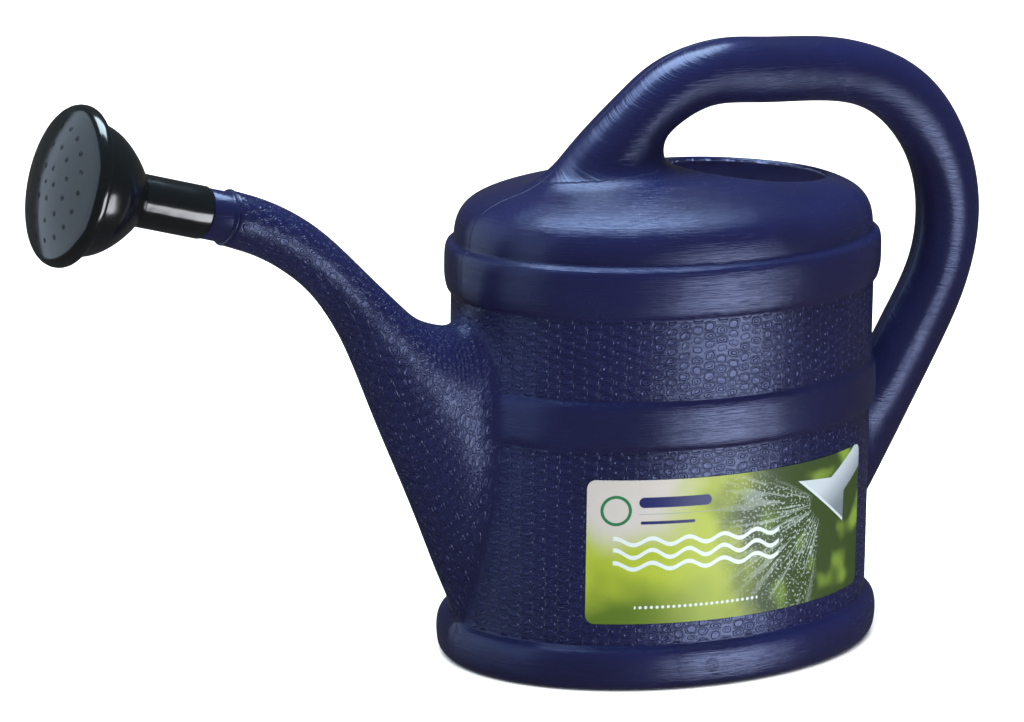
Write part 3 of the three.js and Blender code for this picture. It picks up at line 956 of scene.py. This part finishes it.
def label_print():
    """Clouded greens, a spray from a sprinkler head, and plain shapes where the words would be."""
    f = Finish("label_print", IOR=1.27, Roughness=0.34)
    u, v, _ = f.attribute("print").parts()
    wide, high = LABEL_LENGTH, label_high[2] - label_low[2]

    def disc(x, y, radius_x, radius_y):
        a, b = (u - x * wide) / radius_x, (v - y * high) / radius_y
        return (a * a + b * b).math("SQRT")

    def strip(x0, x1, y, half):
        """A bar with round ends, between fractions x0 and x1 of the width."""
        a = (abs(u - (x0 + x1) / 2 * wide) - ((x1 - x0) / 2 * wide - half)).math("MAXIMUM", 0.0)
        b = v - y * high
        return (a * a + b * b).math("SQRT").ramp(half, half - 0.35)

    cloud = f.noise(f.vector(u, v), scale=0.03, detail=2.0, size="2D") - 0.5
    blobs = f.noise(f.vector(u, v, 40.0), scale=0.055, detail=1.0, size="2D") - 0.5
    colour = f.mix((u + cloud * 60).ramp(0.35 * wide, 0.58 * wide), (0.46, 0.52, 0.03),
                   (0.05, 0.078, 0.02))
    low_left = (v + cloud * 40).ramp(0.45 * high, 0.0) * u.ramp(0.55 * wide, 0.1 * wide)
    colour = f.mix(low_left * 0.95, colour, (0.1, 0.165, 0.012))
    colour = f.mix((blobs * 1.6).ramp(0.05, 0.5) * u.ramp(0.3 * wide, 0.9 * wide) * 0.8, colour,
                   (0.3, 0.42, 0.05))
    haze = disc(0.1, 1.0, 0.31 * wide, 0.56 * high) + cloud * 0.5
    colour = f.mix(haze.ramp(0.98, 0.42), colour, (0.68, 0.585, 0.52))

    away, rise = u * -1.0 + 0.785 * wide, v - 0.69 * high
    reach = (away * away + rise * rise).math("SQRT")
    turn = rise.math("ARCTAN2", away)
    jet = f.noise(f.vector(turn * 16.0, reach * 0.035), detail=2.0, size="2D").ramp(0.52, 0.62)
    fan = turn.ramp(-1.5, -1.25) * turn.ramp(0.55, 0.3) * reach.ramp(72, 30) * reach.ramp(7, 12)
    drops = f.noise(f.vector(u, v), scale=0.75, detail=1.0, size="2D").ramp(0.60, 0.66)
    colour = f.mix((jet * 0.5 + drops * 0.8).clamp() * fan * 0.65, colour, (0.75, 0.8, 0.74))

    lean = math.radians(27)
    side = away * math.sin(lean) + rise * math.cos(lean)
    out = away * -math.cos(lean) + rise * math.sin(lean) + side * 0.5
    shape = (abs(side) - (out * -0.95 + 19.0).math("MAXIMUM", 6.5)).ramp(0.0, -0.5)
    shape = shape * out.ramp(-0.5, 0.0)
    steel = f.mix(side.ramp(-12, 10), (0.2, 0.22, 0.25), (0.62, 0.65, 0.68))
    steel = f.mix(out.ramp(1.4, 0.6), steel, (0.72, 0.74, 0.76))
    colour = f.mix(shape, colour, steel)

    badge = disc(0.085, 0.79, 1.0, 1.0)
    ring = badge.ramp(7.2, 6.9) * badge.ramp(5.5, 5.8)
    colour = f.mix(ring, colour, (0.02, 0.2, 0.07))
    dark_blue, grey, white = (0.012, 0.018, 0.13), (0.3, 0.32, 0.34), (0.8, 0.82, 0.78)
    colour = f.mix(strip(0.15, 0.37, 0.845, 2.6), colour, dark_blue)
    colour = f.mix(strip(0.15, 0.41, 0.765, 0.3), colour, grey)
    colour = f.mix(strip(0.155, 0.32, 0.705, 0.9), colour, dark_blue)

    for level, swing in ((0.575, 1.5), (0.49, 1.8), (0.405, 1.5)):
        wave = v - level * high + (u * (2 * math.pi / 17)).math("SINE") * swing
        line = abs(wave).ramp(1.15, 0.8) * u.ramp(0.075 * wide, 0.08 * wide)
        colour = f.mix(line * u.ramp(0.605 * wide, 0.6 * wide), colour, white)
    pitch = 2.6  # of the dots
    beat = ((u / pitch).math("FRACT") - 0.5) * pitch
    spot = (beat * beat + (v - 0.115 * high) * (v - 0.115 * high)).math("SQRT").ramp(0.85, 0.6)
    spot = spot * u.ramp(0.14 * wide, 0.142 * wide) * u.ramp(0.53 * wide, 0.528 * wide)
    colour = f.mix(spot, colour, white)
    soaked = 0.6  # share of the light that the ink takes from every colour
    f.colour(f.mix(soaked, colour, (0.0, 0.0, 0.0)))
    return f.material


def dress(piece, body_name, slot, material, *nodes):
    piece.data.materials.clear()
    piece.data.materials.append(material)
    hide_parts(*nodes)
    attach(piece, body_name)


black = rose_plastic()
dress(can, "can", "can_plastic", can_plastic(), "tank_base", "tank_wall", "tank_dome",
      "handle_front", "handle_grip", "handle_rear", "handle_rear_root", "spout_root",
      "spout_tube", "spout_spigot")
dress(bell, "rose", "rose_plastic", black, "rose_shell")
dress(cap, "rose_cap", "rose_plastic", black, "rose_face")
dress(label, "can", "label_film", label_print(), "label")

# ------------------------------------------------------------------ floor, light and camera


def floor_plane():
    mesh = bpy.data.meshes.new("floor")
    side = 14.0  # metres
    mesh.from_pydata([(-side, -side, 0), (side, -side, 0), (side, side, 0), (-side, side, 0)],
                     [], [(0, 1, 2, 3)])
    floor = bpy.data.objects.new("floor", mesh)
    bpy.context.scene.collection.objects.link(floor)
    f = Finish("floor_paper", Roughness=0.8)
    f.colour(f.mix(f.noise(f.place(), scale=0.02, detail=3.0), (0.78, 0.785, 0.79),
                   (0.83, 0.83, 0.83)))
    mesh.materials.append(f.material)
    floor.visible_glossy = floor.visible_shadow = False
    return floor


def softbox(name, azimuth, elevation, distance, width, height, power, aim, tint):
    """An area light round the object, in metres and watts. Azimuth 0 is in front, on -Y, and 90
    on +X."""
    a, e = math.radians(azimuth), math.radians(elevation)
    way = Vector((math.sin(a) * math.cos(e), -math.cos(a) * math.cos(e), math.sin(e)))
    light = bpy.data.lights.new(name, "AREA")
    light.shape = "RECTANGLE"
    light.size, light.size_y = width, height
    light.energy = power
    light.color = tint
    lamp = bpy.data.objects.new(name, light)
    bpy.context.scene.collection.objects.link(lamp)
    lamp.location = Vector(aim) + way * distance
    lamp.rotation_mode = "QUATERNION"
    lamp.rotation_quaternion = (-way).to_track_quat("-Z", "Y")
    lamp.visible_camera = False


def sky(name, power, angle, turn, floor, state):
    """A wide soft sun that lights only the floor, with INCLUDE, or all but the floor."""
    light = bpy.data.lights.new(name, "SUN")
    light.energy, light.angle = power, math.radians(angle)
    lamp = bpy.data.objects.new(name, light)
    bpy.context.scene.collection.objects.link(lamp)
    lamp.rotation_euler = [math.radians(a) for a in turn]
    lit = bpy.data.collections.new(name)
    lit.objects.link(floor)
    lit.collection_objects[0].light_linking.link_state = state
    lamp.light_linking.receiver_collection = lit
    return lamp


def studio(floor):
    """A low card on the right, a big one on the left, a softbox overhead and soft skies."""
    tank = SHIFT / 1000
    softbox("key_right", 17, -8, 0.62, 0.4, 0.4, 4.9, (tank, 0, 0.02), (0.92, 0.95, 1.0))
    softbox("card_left", -110, 15, 1.1, 2.1, 1.7, 14.0, (tank - 0.1, 0, 0.15), (0.66, 0.82, 1.0))
    softbox("overhead", 165, 80, 0.95, 0.75, 0.5, 15.5, (tank, 0, 0.2), (0.7, 0.88, 1.0))
    sky("sky_on_floor", 7.0, 70, (12, -14, 0), floor, "INCLUDE")
    dome_light = sky("sky_on_can", 13.5, 50, (4, -2, 0), floor, "EXCLUDE")
    dome_light.visible_glossy = False
    dome_light.data.color = (0.5, 0.85, 1.0)
    world = bpy.data.worlds.new("studio")
    world.use_nodes = True
    tree = world.node_tree
    tree.nodes["Background"].inputs["Color"].default_value = (0.96, 0.97, 1.0, 1)
    path = tree.nodes.new("ShaderNodeLightPath")
    seen = Value(tree, path.outputs["Is Camera Ray"])
    mirrored = Value(tree, path.outputs["Is Glossy Ray"])
    plug(tree, seen * 0.8 + mirrored * -0.12 + 0.2, tree.nodes["Background"].inputs["Strength"])
    bpy.context.scene.world = world


def camera():
    """In front and to the left, a little above the can, with a slight roll and a long lens."""
    azimuth, elevation, roll = math.radians(-30), math.radians(13.288), math.radians(0.681)
    back = Vector((math.sin(azimuth) * math.cos(elevation),
                   -math.cos(azimuth) * math.cos(elevation), math.sin(elevation)))
    lens = bpy.data.cameras.new("camera")
    lens.sensor_width = 36
    lens.lens = 145.993
    lens.clip_start, lens.clip_end = 0.05, 60
    view = bpy.data.objects.new("camera", lens)
    bpy.context.scene.collection.objects.link(view)
    view.location = Vector((-1.0005625 + SHIFT / 1000, -1.5929671, 0.5761512))
    turn = (-back).to_track_quat("-Z", "Y").to_matrix() @ Matrix.Rotation(roll, 3, "Z")
    view.rotation_mode = "QUATERNION"
    view.rotation_quaternion = turn.to_quaternion()
    bpy.context.scene.camera = view


studio(floor_plane())
camera()
bpy.context.scene.view_settings.view_transform = "Standard"
